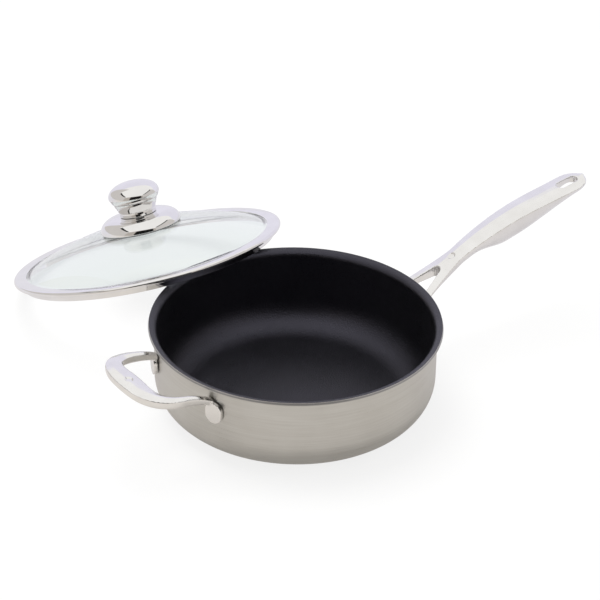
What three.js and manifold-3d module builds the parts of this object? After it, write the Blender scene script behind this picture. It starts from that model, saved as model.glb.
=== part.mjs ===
import * as THREE from "three";
import { mergeVertices } from "three/addons/utils/BufferGeometryUtils.js";
import Module from "manifold-3d";

// Saute pan with its glass lid leaning on the rim. Millimetres, +Z up.
// The origin is the middle of the pan's base, on the table, and the long handle points along +X.

// Clad pan, measured on the outside face
const panHeight = 79;
const wallRadius = 122.1;
const cornerRadius = 31;
const lipBend = 3;
const lipSweep = THREE.MathUtils.degToRad(75);
const lipLand = 2.8;
const outerShell = 0.5;
const aluminiumCore = 1.6;
const innerShell = 0.4;
const coating = 0.2;

// Feet of both handles, welded to the wall
const footGap = 0.8;
const footThickness = 3.4;
const footWidth = 16;
const footTopDrop = 1;
const weldRadius = 4.5;
const weldGap = 0.15;
const wallOverrun = 7;

// Cast bar that both handles are drawn from, and the bare round recess in its top face
const flatShare = 0.2;
const bellyPower = 2.7;
const recessRadius = 4;
const recessDepth = 1.1;

// Long handle: the line of its top face is a straight root, a bend and a straight grip
const handleBelowRim = 16.3;
const handleRoot = 54.6;
const handleRise = THREE.MathUtils.degToRad(27);
const handleBend = 290;
const handleGrip = 58.5;
const gripRise = THREE.MathUtils.degToRad(8);
const rootHalfWidth = 21;
const neckHalfWidth = 8.8;
const neckPlace = 59;
const gripHalfWidth = 13.8;
const prongCurve = 1.25;
const prongDepth = 4.6;
const neckDepth = 10;
const bellyDepth = 21.5;
const bellyStart = 70;
const bellyPlace = 110;
const bellyEnd = 122;
const tipDepth = 5;
const tipRadius = 17;
const tipFlat = 0.3;
const handleCrown = 2;
const forkHalfWidth = 16.5;
const forkLength = 38;
const forkRound = 4.6;
const slotLength = 22.5;
const slotWidth = 9.5;
const slotMargin = 8.5;
const slotPocket = 2;
const slotWeb = 3.5;
const handleRecessPlace = 54;
const handleFootDrop = 26;

// Helper handle: a loop that rises away from the wall
const helperBelowRim = 10;
const helperDip = 4.5;
const helperDipShare = 0.4;
const helperRise = THREE.MathUtils.degToRad(12);
const helperRoll = THREE.MathUtils.degToRad(8);
const helperReach = 179.5;
const helperFootSpread = 90;
const helperArmSpread = 83;
const helperBarLength = 80;
const helperCorner = 28;
const helperBarWidth = 20;
const helperArmWidth = 7.5;
const helperRootDepth = 5;
const helperDepth = 9.5;
const helperBarPower = 4;
const helperCrown = 1.6;
const helperFootDrop = 19.5;

// Lid: steel band crimped round a domed glass
const skirtClearance = 1.1;
const skirtDepth = 5.5;
const skirtThickness = 1.2;
const beadInset = 2;
const beadMetal = 2.1;
const bandWidth = 12;
const bandSheet = 0.5;
const glassThickness = 2.8;
const domeRise = 24.5;
const domeInset = 1;
const glassHoleRadius = 6;
const seatGap = 0.3;

// Knob and the screw that clamps it through the glass
const screwRadius = 2.5;
const screwClearance = 0.5;
const screwHeadRadius = 5;
const screwHeadFlat = 3.5;
const screwHeadHeight = 3;
const screwReach = 9;
const washerRadius = 9.5;
const washerThickness = 1.2;
const grommetRadius = 11;
const grommetThickness = 1.6;
const gasketRadius = 36.3;
const gasketThickness = 0.8;
const baseRadius = 37.2;
const baseWall = 5.1;
const baseCrown = 6.3;
const baseFlat = 12;
const basePower = 2;
const baseBossRadius = 8;
const neckFootRadius = 16.8;
const neckFootHeight = 4.2;
const neckStep = 0.5;
const neckTopRadius = 21;
const neckHeight = 13.3;
const knobWall = 1.2;
const insertRadius = 8;
const insertHeight = 11;
const capFlare = 0.6;
const capRadius = 23.7;
const capWaist = 4.4;
const capDome = 12.8;
const capPower = 2.2;

// Where the lid leans: to one side of the pan, with this share of its width outside the rim
const leanSide = THREE.MathUtils.degToRad(93.8);
const leanShare = 0.828;
const leanSteps = 60;

// Fineness of the round shapes
const panSegments = 64;
const lidSegments = 64;
const knobSegments = 32;
const cutterSegments = 240;
const cutterCurve = 8;
const cornerSteps = 5;
const lipSteps = 3;
const domeSteps = 5;
const beadSteps = 4;
const handleSteps = 22;
const tipSteps = 4;
const helperSteps = 30;
const bellySteps = 8;
const baseSteps = 5;
const capSteps = 6;

// Values worked out from the sizes above
const wallThickness = outerShell + aluminiumCore + innerShell + coating;
const lipCentreRadius = wallRadius + lipBend;
const lipEndAngle = Math.PI - lipSweep;
const lipRise = (lipBend + wallThickness) * Math.sin(lipEndAngle) - lipLand * Math.cos(lipEndAngle);
const lipCentreHeight = panHeight - lipRise;
const rimRadius = lipTip(0)[0];
const rimTopRadius = lipTip(wallThickness)[0];
const skirtRadius = wallRadius - wallThickness - skirtClearance;
const leanReach = rimRadius + 2 * skirtRadius * leanShare;
const beadRadius = rimRadius - beadInset;
const glassBottom = bandSheet + seatGap;
const glassTop = glassBottom + glassThickness;
const beadHeight = glassTop + seatGap + bandSheet;
const bandInnerRadius = beadRadius - bandWidth;
const grooveRadius = beadRadius - beadMetal;
const domeRadius = bandInnerRadius - domeInset;
const domeSphere = (domeRadius ** 2 + domeRise ** 2) / (2 * domeRise);
const domeApex = glassTop + domeRise;
const screwHole = screwRadius + screwClearance;
const gasketRise = seatGap + gasketThickness;
const baseBottom = domeTop(gasketRadius) + gasketRise + seatGap;
const bossBottom = domeApex + gasketRise + seatGap;
const baseTop = baseBottom + baseWall + baseCrown;
const neckBottom = baseTop + seatGap;
const neckTop = neckBottom + neckHeight;
const insertBottom = neckBottom + knobWall + seatGap;
const capBottom = neckTop + seatGap;
const grommetTop = domeTop(grommetRadius) - glassThickness - seatGap;
const washerTop = grommetTop - grommetThickness - seatGap;
const screwHeadTop = washerTop - washerThickness - seatGap;
const handleHeight = panHeight - handleBelowRim;
const handleBendAngle = handleRise - gripRise;
const handleLength = handleRoot + handleBend * handleBendAngle + handleGrip;
const helperHeight = panHeight - helperBelowRim;
const cutterHeight = 3 * panHeight;

const wasm = await Module();
wasm.setup();

// Solid of a closed geometry, for joining and cutting
function solidOf(geometry) {
  const bare = geometry.index ? geometry.toNonIndexed() : geometry.clone();
  bare.deleteAttribute("normal");
  bare.deleteAttribute("uv");
  const merged = mergeVertices(bare);
  const corners = merged.index.array;
  const triangles = [];
  for (let i = 0; i < corners.length; i += 3) {
    const [a, b, c] = corners.slice(i, i + 3);
    if (a !== b && b !== c && c !== a) {
      triangles.push(a, b, c);
    }
  }
  const mesh = new wasm.Mesh({
    numProp: 3,
    vertProperties: merged.attributes.position.array,
    triVerts: Uint32Array.from(triangles),
  });
  return new wasm.Manifold(mesh);
}

function geometryOf(solid) {
  const mesh = solid.getMesh();
  const geometry = new THREE.BufferGeometry();
  geometry.setAttribute("position", new THREE.BufferAttribute(mesh.vertProperties, 3));
  geometry.setIndex(new THREE.BufferAttribute(mesh.triVerts, 1));
  geometry.computeVertexNormals();
  return geometry;
}

// Body turned about Z from a profile of [radius, height] points, run anticlockwise
function turned(profile, segments) {
  const points = profile.map(([radius, height]) => new THREE.Vector2(radius, height));
  const geometry = new THREE.LatheGeometry(points, segments);
  geometry.rotateX(Math.PI / 2);
  return geometryOf(solidOf(geometry));
}

function turnedRing(profile, segments) {
  return turned([...profile, profile[0]], segments);
}

function roundBar(radius, bottom, top, segments) {
  return turned([[0, bottom], [radius, bottom], [radius, top], [0, top]], segments);
}

function arcPoints(centre, radius, start, end, steps) {
  const points = [];
  for (let i = 0; i <= steps; i++) {
    const angle = start + (end - start) * (i / steps);
    points.push([centre[0] + radius * Math.cos(angle), centre[1] + radius * Math.sin(angle)]);
  }
  return points;
}

// Closed body through a row of section rings, with a flat end on the first and the last
function loft(rings) {
  const size = rings[0].length;
  const points = rings.flat();
  const index = [];
  for (let ring = 0; ring + 1 < rings.length; ring++) {
    for (let i = 0; i < size; i++) {
      const near = ring * size + i;
      const next = ring * size + (i + 1) % size;
      index.push(near, next, near + size);
      index.push(next, next + size, near + size);
    }
  }
  const last = (rings.length - 1) * size;
  for (let i = 1; i + 1 < size; i++) {
    index.push(0, i + 1, i);
    index.push(last, last + i, last + i + 1);
  }
  const geometry = new THREE.BufferGeometry().setFromPoints(points);
  geometry.setIndex(index);
  return solidOf(geometry);
}

// Section of a cast bar: a narrow flat ridge, a slope each side down to a crisp edge, and a full round belly
function barSection(halfWidth, depth, crown) {
  const fullness = 2 / bellyPower;
  const halfFlat = halfWidth * flatShare;
  const section = [[halfWidth, 0], [halfFlat, crown], [-halfFlat, crown]];
  for (let i = 0; i < bellySteps; i++) {
    const angle = Math.PI * (i / bellySteps);
    const across = Math.sign(Math.cos(angle)) * Math.abs(Math.cos(angle)) ** fullness;
    section.push([-halfWidth * across, -depth * Math.sin(angle) ** fullness]);
  }
  return section;
}

function placeSection(section, centre, side, up) {
  return section.map(([across, rise]) => {
    const point = centre.clone().addScaledVector(side, across);
    return point.addScaledVector(up, rise);
  });
}

// Flat shape laid on the wall at an angle round the pan, pushed outwards between two radii
function wallPrism(shape, angle, innerRadius, outerRadius) {
  const geometry = new THREE.ExtrudeGeometry(shape, {
    depth: outerRadius - innerRadius,
    bevelEnabled: false,
    curveSegments: cutterCurve,
  });
  const outward = new THREE.Vector3(Math.cos(angle), Math.sin(angle), 0);
  const up = new THREE.Vector3(0, 0, 1);
  const across = new THREE.Vector3().crossVectors(up, outward);
  const placed = new THREE.Matrix4().makeBasis(across, up, outward);
  placed.setPosition(outward.multiplyScalar(innerRadius));
  geometry.applyMatrix4(placed);
  return solidOf(geometry);
}

// Clad pan

function lipTip(depth) {
  const bend = lipBend + depth;
  const radius = lipCentreRadius + bend * Math.cos(lipEndAngle) + lipLand * Math.sin(lipEndAngle);
  const height = lipCentreHeight + bend * Math.sin(lipEndAngle) - lipLand * Math.cos(lipEndAngle);
  return [radius, height];
}

// Face of the sheet lying this deep below the pan's outside: base, corner, wall and pouring lip
function sheetFace(depth) {
  const cornerCentre = [wallRadius - cornerRadius, cornerRadius];
  const lipCentre = [lipCentreRadius, lipCentreHeight];
  return [
    [0, depth],
    ...arcPoints(cornerCentre, cornerRadius - depth, -Math.PI / 2, 0, cornerSteps),
    ...arcPoints(lipCentre, lipBend + depth, Math.PI, lipEndAngle, lipSteps),
    lipTip(depth),
  ];
}

function sheetLayer(outerDepth, thickness) {
  return turned([...sheetFace(outerDepth), ...sheetFace(outerDepth + thickness).reverse()], panSegments);
}

// Handles

// Point, direction and height of the long handle's top line, measured along it from the wall
function handleLine(along) {
  const bendLength = handleBend * handleBendAngle;
  const onRoot = Math.min(along, handleRoot);
  const onBend = THREE.MathUtils.clamp(along - handleRoot, 0, bendLength);
  const onGrip = Math.max(along - handleRoot - bendLength, 0);
  const slope = handleRise - onBend / handleBend;
  const x = wallRadius + onRoot * Math.cos(handleRise)
    + handleBend * (Math.sin(handleRise) - Math.sin(slope)) + onGrip * Math.cos(slope);
  const z = handleHeight + onRoot * Math.sin(handleRise)
    + handleBend * (Math.cos(slope) - Math.cos(handleRise)) + onGrip * Math.sin(slope);
  return { point: new THREE.Vector3(x, 0, z), up: new THREE.Vector3(-Math.sin(slope), 0, Math.cos(slope)) };
}

function handleHalfWidth(along) {
  if (along < neckPlace) {
    const toRoot = (1 - along / neckPlace) ** prongCurve;
    return THREE.MathUtils.lerp(neckHalfWidth, rootHalfWidth, toRoot);
  }
  const tipCentre = handleLength - tipRadius;
  const share = Math.min((along - neckPlace) / (tipCentre - neckPlace), 1);
  const width = THREE.MathUtils.lerp(neckHalfWidth, gripHalfWidth, 1 - (1 - share) ** 2);
  const intoTip = Math.max(along - tipCentre, 0) / tipRadius;
  return width * Math.sqrt(1 - intoTip ** 2);
}

function handleDepth(along) {
  const ease = THREE.MathUtils.smoothstep;
  const rootToNeck = THREE.MathUtils.lerp(prongDepth, neckDepth, ease(along, 0, neckPlace));
  const neckToBelly = THREE.MathUtils.lerp(rootToNeck, bellyDepth, ease(along, bellyStart, bellyPlace));
  return THREE.MathUtils.lerp(neckToBelly, tipDepth, ease(along, bellyEnd, handleLength));
}

function handleBody() {
  const side = new THREE.Vector3(0, 1, 0);
  const tipCentre = handleLength - tipRadius;
  const places = [];
  for (let i = 0; i <= handleSteps; i++) {
    places.push(THREE.MathUtils.lerp(-wallOverrun, tipCentre, i / handleSteps));
  }
  for (let i = 1; i < tipSteps; i++) {
    places.push(tipCentre + tipRadius * Math.sin((Math.PI / 2) * (i / tipSteps)));
  }
  places.push(handleLength - tipFlat);
  const rings = places.map((along) => {
    const line = handleLine(along);
    const section = barSection(handleHalfWidth(along), handleDepth(along), handleCrown);
    return placeSection(section, line.point, side, line.up);
  });
  return loft(rings);
}

// Upright cutter with this outline in plan, from the table up to a height
function planCutter(shape, height) {
  const options = { depth: height, bevelEnabled: false, curveSegments: cutterCurve };
  return solidOf(new THREE.ExtrudeGeometry(shape, options));
}

// Plug that sinks the round recess into a top face this far above the bar's line
function recessCutter(point, up, crown) {
  const plug = roundBar(recessRadius, crown - recessDepth, crown + recessDepth, knobSegments);
  plug.applyQuaternion(new THREE.Quaternion().setFromUnitVectors(new THREE.Vector3(0, 0, 1), up));
  plug.translate(point.x, point.y, point.z);
  return solidOf(plug);
}

function forkCutter() {
  const end = handleLine(forkLength).point.x;
  const start = wallRadius - wallOverrun;
  const shape = new THREE.Shape();
  shape.moveTo(start, -forkHalfWidth);
  shape.lineTo(end - forkRound, -forkRound);
  shape.absarc(end - forkRound, 0, forkRound, -Math.PI / 2, Math.PI / 2, false);
  shape.lineTo(start, forkHalfWidth);
  shape.closePath();
  return planCutter(shape, cutterHeight);
}

// Hanging slot, or the pocket under it that is wider all round by the margin
function slotCutter(margin, height) {
  const radius = slotWidth / 2;
  const outer = handleLine(handleLength - slotMargin - radius).point.x;
  const inner = handleLine(handleLength - slotMargin - slotLength + radius).point.x;
  const shape = new THREE.Shape();
  shape.absarc(outer, 0, radius + margin, -Math.PI / 2, Math.PI / 2, false);
  shape.absarc(inner, 0, radius + margin, Math.PI / 2, (3 * Math.PI) / 2, false);
  shape.closePath();
  return planCutter(shape, height);
}

// Tongue-shaped foot that hangs below the end of an arm, flat against the wall
function footSolid(angle, top, drop) {
  const half = footWidth / 2;
  const bottom = top - drop;
  const shape = new THREE.Shape();
  shape.moveTo(half, top - half);
  shape.absarc(0, top - half, half, 0, Math.PI, false);
  shape.absarc(0, bottom + half, half, Math.PI, 2 * Math.PI, false);
  shape.closePath();
  return wallPrism(shape, angle, wallRadius - wallOverrun, wallRadius + footGap + footThickness);
}

function wallCylinder(radius) {
  return solidOf(roundBar(radius, 0, cutterHeight, cutterSegments));
}

// Weld nugget between the middle of a foot and the wall
function weldGeometry(angle, height) {
  const shape = new THREE.Shape();
  shape.absarc(0, height, weldRadius, 0, 2 * Math.PI, false);
  const stud = wallPrism(shape, angle, wallRadius - wallOverrun, wallRadius + wallOverrun);
  const outside = wallCylinder(wallRadius + footGap - weldGap);
  const inside = wallCylinder(wallRadius + weldGap);
  return geometryOf(stud.intersect(outside).subtract(inside));
}

// Feet stand at the middle of the long handle's two prongs
const prongMiddle = (rootHalfWidth + forkHalfWidth) / 2;
const handleFootAngle = Math.asin(prongMiddle / wallRadius);
const handleFootTop = handleHeight - footTopDrop;
const handleWeldHeight = handleFootTop - handleFootDrop / 2;

function longHandleGeometry() {
  const recess = handleLine(handleRecessPlace);
  const slotMiddle = handleLine(handleLength - slotMargin - slotLength / 2).point;
  let handle = handleBody().subtract(forkCutter()).subtract(slotCutter(0, cutterHeight));
  handle = handle.subtract(slotCutter(slotPocket, slotMiddle.z - slotWeb));
  handle = handle.subtract(recessCutter(recess.point, recess.up, handleCrown));
  for (const angle of [handleFootAngle, -handleFootAngle]) {
    handle = handle.add(footSolid(angle, handleFootTop, handleFootDrop));
  }
  return geometryOf(handle.subtract(wallCylinder(wallRadius + footGap)));
}

const helperFootAngle = Math.asin(helperFootSpread / 2 / wallRadius);
const helperFootTop = helperHeight - helperDip - footTopDrop;
const helperWeldHeight = helperFootTop - helperFootDrop / 2;

// Middle line of the loop's top face: an arm bending up from the wall, a corner, the bar and back again
function helperLine() {
  const barOut = helperReach - helperBarWidth / 2;
  const halfSpread = helperArmSpread / 2;
  const wallOut = Math.sqrt(wallRadius ** 2 - halfSpread ** 2);
  const onLoop = (out, across) => {
    const height = helperHeight + (out - wallOut) * Math.tan(helperRise);
    return new THREE.Vector3(-out, across, height);
  };
  const halfBar = helperBarLength / 2;
  const foot = onLoop(wallOut, halfSpread);
  const corner = onLoop(barOut, halfBar);
  const cornerStart = corner.clone().lerp(foot, helperCorner / corner.distanceTo(foot));
  const cornerEnd = onLoop(barOut, halfBar - helperCorner);
  const armBend = foot.clone().lerp(cornerStart, helperDipShare);
  const root = new THREE.Vector3(foot.x, foot.y, foot.z - helperDip);
  const inWall = new THREE.Vector3(root.x + wallOverrun, root.y, root.z);
  const mirror = (point) => new THREE.Vector3(point.x, -point.y, point.z);
  const line = new THREE.CurvePath();
  line.add(new THREE.LineCurve3(inWall, root));
  line.add(new THREE.QuadraticBezierCurve3(root, armBend, cornerStart));
  line.add(new THREE.QuadraticBezierCurve3(cornerStart, corner, cornerEnd));
  line.add(new THREE.LineCurve3(cornerEnd, mirror(cornerEnd)));
  line.add(new THREE.QuadraticBezierCurve3(mirror(cornerEnd), mirror(corner), mirror(cornerStart)));
  line.add(new THREE.QuadraticBezierCurve3(mirror(cornerStart), mirror(armBend), mirror(root)));
  line.add(new THREE.LineCurve3(mirror(root), mirror(inWall)));
  return line;
}

function helperBody(line, up) {
  const rings = [];
  for (let i = 0; i <= helperSteps; i++) {
    const share = i / helperSteps;
    const point = line.getPointAt(share);
    const side = new THREE.Vector3().crossVectors(up, line.getTangentAt(share)).normalize();
    const fromRoot = Math.sin(Math.PI * share);
    const halfWidth = THREE.MathUtils.lerp(helperArmWidth, helperBarWidth, fromRoot ** helperBarPower) / 2;
    const depth = THREE.MathUtils.lerp(helperRootDepth, helperDepth, fromRoot);
    rings.push(placeSection(barSection(halfWidth, depth, helperCrown), point, side, up));
  }
  return loft(rings);
}

function helperHandleGeometry() {
  const line = helperLine();
  const lean = helperRise - helperRoll;
  const up = new THREE.Vector3(Math.sin(lean), 0, Math.cos(lean));
  const middle = line.getPointAt(0.5);
  let handle = helperBody(line, up).subtract(recessCutter(middle, up, helperCrown));
  for (const angle of [Math.PI + helperFootAngle, Math.PI - helperFootAngle]) {
    handle = handle.add(footSolid(angle, helperFootTop, helperFootDrop));
  }
  return geometryOf(handle.subtract(wallCylinder(wallRadius + footGap)));
}

// Lid, in its own frame: axis along Z, with the bead's underside, which sits on the rim, at zero

function domeTop(radius) {
  return glassTop + domeRise - domeSphere + Math.sqrt(domeSphere ** 2 - radius ** 2);
}

function domeFace(lift, steps) {
  const points = [];
  for (let i = 0; i <= steps; i++) {
    const radius = glassHoleRadius + (domeRadius - glassHoleRadius) * (i / steps);
    points.push([radius, domeTop(radius) + lift]);
  }
  return points;
}

function lidGlassGeometry() {
  const edge = grooveRadius - seatGap;
  return turnedRing([
    ...domeFace(-glassThickness, domeSteps),
    [edge, glassBottom],
    [edge, glassTop],
    ...domeFace(0, domeSteps).reverse(),
  ], lidSegments);
}

function lidBandGeometry() {
  const skirtInner = skirtRadius - skirtThickness;
  const bead = arcPoints([0, 0], 1, -Math.PI / 2, Math.PI / 2, beadSteps).map(([out, rise]) => [
    grooveRadius + beadMetal * out,
    (beadHeight / 2) * (1 + rise),
  ]);
  return turnedRing([
    [skirtInner, -skirtDepth],
    [skirtRadius, -skirtDepth],
    [skirtRadius, 0],
    ...bead,
    [bandInnerRadius, beadHeight],
    [bandInnerRadius, beadHeight - bandSheet],
    [grooveRadius, beadHeight - bandSheet],
    [grooveRadius, bandSheet],
    [skirtInner, bandSheet],
  ], lidSegments);
}

// Soft disc that follows the dome between the glass and the knob's base
function baseGasketGeometry() {
  const face = (lift) => [screwHole, gasketRadius / 2, gasketRadius].map((r) => [r, domeTop(r) + lift]);
  return turnedRing([...face(seatGap), ...face(gasketRise).reverse()], knobSegments);
}

// Crown of the base, from the top of its wall in to its flat middle
function baseFace(inset) {
  const points = [];
  const fullness = 2 / basePower;
  for (let i = 0; i <= baseSteps; i++) {
    const angle = (Math.PI / 2) * (i / baseSteps);
    const across = i === baseSteps ? 0 : Math.cos(angle) ** fullness;
    const radius = baseFlat + (baseRadius - inset - baseFlat) * across;
    points.push([radius, baseBottom + baseWall + (baseCrown - inset) * Math.sin(angle) ** fullness]);
  }
  return points;
}

// Pressed cup with its wall on the gasket, and a boss in the middle round the screw
function knobBaseGeometry() {
  return turnedRing([
    [screwHole, bossBottom],
    [baseBossRadius, bossBottom],
    [baseBossRadius, baseTop - knobWall],
    ...baseFace(knobWall).reverse(),
    [baseRadius - knobWall, baseBottom],
    [baseRadius, baseBottom],
    ...baseFace(0),
    [screwHole, baseTop],
  ], knobSegments);
}

function knobNeckGeometry() {
  const inner = neckFootRadius - knobWall;
  return turnedRing([
    [screwHole, neckBottom],
    [neckFootRadius, neckBottom],
    [neckFootRadius, neckBottom + neckFootHeight],
    [neckFootRadius + neckStep, neckBottom + neckFootHeight + neckStep],
    [neckTopRadius, neckTop],
    [neckTopRadius - knobWall, neckTop],
    [inner, neckBottom + neckFootHeight],
    [inner, neckBottom + knobWall],
    [screwHole, neckBottom + knobWall],
  ], knobSegments);
}

function knobInsertGeometry() {
  const bore = screwRadius + seatGap;
  const top = insertBottom + insertHeight;
  return turnedRing([
    [bore, insertBottom],
    [insertRadius, insertBottom],
    [insertRadius, top],
    [bore, top],
  ], knobSegments);
}

// Quarter of the cap's dome, from its widest ring up to the axis
function capFace(inset) {
  const points = [];
  const fullness = 2 / capPower;
  for (let i = 0; i <= capSteps; i++) {
    const angle = (Math.PI / 2) * (i / capSteps);
    const radius = i === capSteps ? 0 : (capRadius - inset) * Math.cos(angle) ** fullness;
    points.push([radius, capBottom + capWaist + (capDome - inset) * Math.sin(angle) ** fullness]);
  }
  return points;
}

function knobCapGeometry() {
  const lowerRadius = neckTopRadius + capFlare;
  return turned([
    ...capFace(knobWall).reverse(),
    [lowerRadius - knobWall, capBottom],
    [lowerRadius, capBottom],
    ...capFace(0),
  ], knobSegments);
}

// Silicone bush: a flange under the glass and a collar through its hole
function glassGrommetGeometry() {
  const collar = glassHoleRadius - seatGap;
  return turnedRing([
    [screwHole, grommetTop - grommetThickness],
    [grommetRadius, grommetTop - grommetThickness],
    [grommetRadius, grommetTop],
    [collar, grommetTop],
    [collar, domeTop(collar)],
    [screwHole, domeTop(collar)],
  ], knobSegments);
}

function screwWasherGeometry() {
  const bottom = washerTop - washerThickness;
  return turnedRing([
    [screwHole, bottom],
    [washerRadius, bottom],
    [washerRadius, washerTop],
    [screwHole, washerTop],
  ], knobSegments);
}

function knobScrewGeometry() {
  const headBottom = screwHeadTop - screwHeadHeight;
  const end = insertBottom + screwReach;
  return turned([
    [0, headBottom],
    [screwHeadFlat, headBottom],
    [screwHeadRadius, headBottom + screwHeadHeight / 2],
    [screwHeadRadius, screwHeadTop],
    [screwRadius, screwHeadTop],
    [screwRadius, end],
    [0, end],
  ], knobSegments);
}

// Lean of the lid

// Height of the skirt's inner bottom edge over the rim, where the two rings cross, at this tilt
function rimClearance(tilt) {
  const ring = skirtRadius - skirtThickness;
  const centreOut = leanReach - skirtRadius * Math.cos(tilt);
  const square = -((ring * Math.sin(tilt)) ** 2);
  const linear = 2 * centreOut * ring * Math.cos(tilt);
  const constant = centreOut ** 2 + ring ** 2 - rimTopRadius ** 2;
  const crossing = (-linear + Math.sqrt(linear ** 2 - 4 * square * constant)) / (2 * square);
  return skirtRadius * Math.sin(tilt) - ring * crossing * Math.sin(tilt) - panHeight;
}

// Tilt at which the skirt rests on the rim while its low edge stands on the table
function leanTilt() {
  let low = 0;
  let high = Math.PI / 4;
  for (let i = 0; i < leanSteps; i++) {
    const middle = (low + high) / 2;
    if (rimClearance(middle) < seatGap) {
      low = middle;
    } else {
      high = middle;
    }
  }
  return high;
}

function steel(colour, roughness) {
  return new THREE.MeshStandardMaterial({ color: colour, roughness, metalness: 1 });
}

function silicone() {
  return new THREE.MeshStandardMaterial({ color: 0x8d8f90, roughness: 0.6, metalness: 0 });
}

function polishedSteel() {
  return steel(0xd8d6d4, 0.12);
}

function piece(name, geometry, material) {
  const mesh = new THREE.Mesh(geometry, material);
  mesh.name = name;
  return mesh;
}

function makePan() {
  const pan = new THREE.Group();
  const innerDepth = outerShell + aluminiumCore;
  const nonstick = new THREE.MeshStandardMaterial({ color: 0x17171a, roughness: 0.5, metalness: 0 });
  pan.add(piece("pan_outer_shell", sheetLayer(0, outerShell), steel(0xb2aca4, 0.35)));
  pan.add(piece("pan_aluminium_core", sheetLayer(outerShell, aluminiumCore), steel(0xbfc1c3, 0.5)));
  pan.add(piece("pan_inner_shell", sheetLayer(innerDepth, innerShell), steel(0xb2aca4, 0.4)));
  pan.add(piece("nonstick_coating", sheetLayer(innerDepth + innerShell, coating), nonstick));
  pan.add(piece("long_handle", longHandleGeometry(), polishedSteel()));
  pan.add(piece("helper_handle", helperHandleGeometry(), polishedSteel()));
  const welds = [
    ["long_handle_weld_left", handleFootAngle, handleWeldHeight],
    ["long_handle_weld_right", -handleFootAngle, handleWeldHeight],
    ["helper_handle_weld_left", Math.PI - helperFootAngle, helperWeldHeight],
    ["helper_handle_weld_right", Math.PI + helperFootAngle, helperWeldHeight],
  ];
  for (const [name, angle, height] of welds) {
    pan.add(piece(name, weldGeometry(angle, height), steel(0x9a9692, 0.6)));
  }
  return pan;
}

function makeLid() {
  const glass = new THREE.MeshStandardMaterial({
    color: 0xe6eeec,
    roughness: 0.05,
    metalness: 0,
    transparent: true,
    opacity: 0.35,
  });
  const lid = new THREE.Group();
  lid.add(piece("lid_glass", lidGlassGeometry(), glass));
  lid.add(piece("lid_band", lidBandGeometry(), polishedSteel()));
  lid.add(piece("base_gasket", baseGasketGeometry(), silicone()));
  lid.add(piece("knob_base", knobBaseGeometry(), polishedSteel()));
  lid.add(piece("knob_neck", knobNeckGeometry(), polishedSteel()));
  lid.add(piece("knob_insert", knobInsertGeometry(), steel(0xaaa8a4, 0.4)));
  lid.add(piece("knob_cap", knobCapGeometry(), polishedSteel()));
  lid.add(piece("glass_grommet", glassGrommetGeometry(), silicone()));
  lid.add(piece("screw_washer", screwWasherGeometry(), steel(0xb8b6b2, 0.3)));
  lid.add(piece("knob_screw", knobScrewGeometry(), steel(0xb8b6b2, 0.3)));
  return lid;
}

// Lid turned to its lean: pushed out from the pan's axis, then swung round to its side
function leaningLid() {
  const tilt = leanTilt();
  const lid = makeLid();
  const out = leanReach - skirtRadius * Math.cos(tilt) + skirtDepth * Math.sin(tilt);
  const rise = skirtRadius * Math.sin(tilt) + skirtDepth * Math.cos(tilt);
  lid.rotation.y = tilt;
  lid.position.set(out, 0, rise);
  const side = new THREE.Group();
  side.rotation.z = leanSide;
  side.add(lid);
  return side;
}

const sautePan = new THREE.Group();
sautePan.add(makePan());
sautePan.add(leaningLid());

export default sautePan;
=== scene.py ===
import math

import bpy
import numpy as np
from mathutils import Matrix, Vector


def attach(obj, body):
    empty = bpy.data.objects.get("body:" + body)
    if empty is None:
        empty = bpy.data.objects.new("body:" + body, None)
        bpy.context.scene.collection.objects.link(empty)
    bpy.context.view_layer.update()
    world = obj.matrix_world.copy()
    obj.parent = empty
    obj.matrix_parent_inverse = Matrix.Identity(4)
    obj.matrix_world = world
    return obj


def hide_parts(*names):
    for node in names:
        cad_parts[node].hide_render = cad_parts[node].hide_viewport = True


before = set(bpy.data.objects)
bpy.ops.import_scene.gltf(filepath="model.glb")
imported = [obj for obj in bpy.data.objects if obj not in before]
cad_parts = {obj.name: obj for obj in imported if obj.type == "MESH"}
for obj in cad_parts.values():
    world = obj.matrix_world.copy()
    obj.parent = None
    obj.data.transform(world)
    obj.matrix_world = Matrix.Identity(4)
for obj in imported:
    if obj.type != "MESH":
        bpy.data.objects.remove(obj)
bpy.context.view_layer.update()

MM = 0.001

# Clad pan, in millimetres, measured on the outside face
PAN_HEIGHT = 79
WALL_RADIUS = 122.1
CORNER_RADIUS = 31
LIP_BEND = 3
LIP_SWEEP = math.radians(75)
LIP_LAND = 2.8
OUTER_SHELL = 0.5
ALUMINIUM_CORE = 1.6
INNER_SHELL = 0.4
COATING = 0.2
WALL_THICKNESS = OUTER_SHELL + ALUMINIUM_CORE + INNER_SHELL + COATING

# Feet of both handles, and the cast bar that both are drawn from
FOOT_GAP = 0.8
FOOT_THICKNESS = 3.4
FOOT_WIDTH = 16
FOOT_TOP_DROP = 1
WALL_OVERRUN = 7
FLAT_SHARE = 0.2
BELLY_POWER = 2.7
RECESS_RADIUS = 4
RECESS_DEPTH = 1.1
RECESS_FLOOR = 2.5
RECESS_SHARP = 24
CUTTER_BOTTOM = -10
CUTTER_TOP = 3 * PAN_HEIGHT

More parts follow.
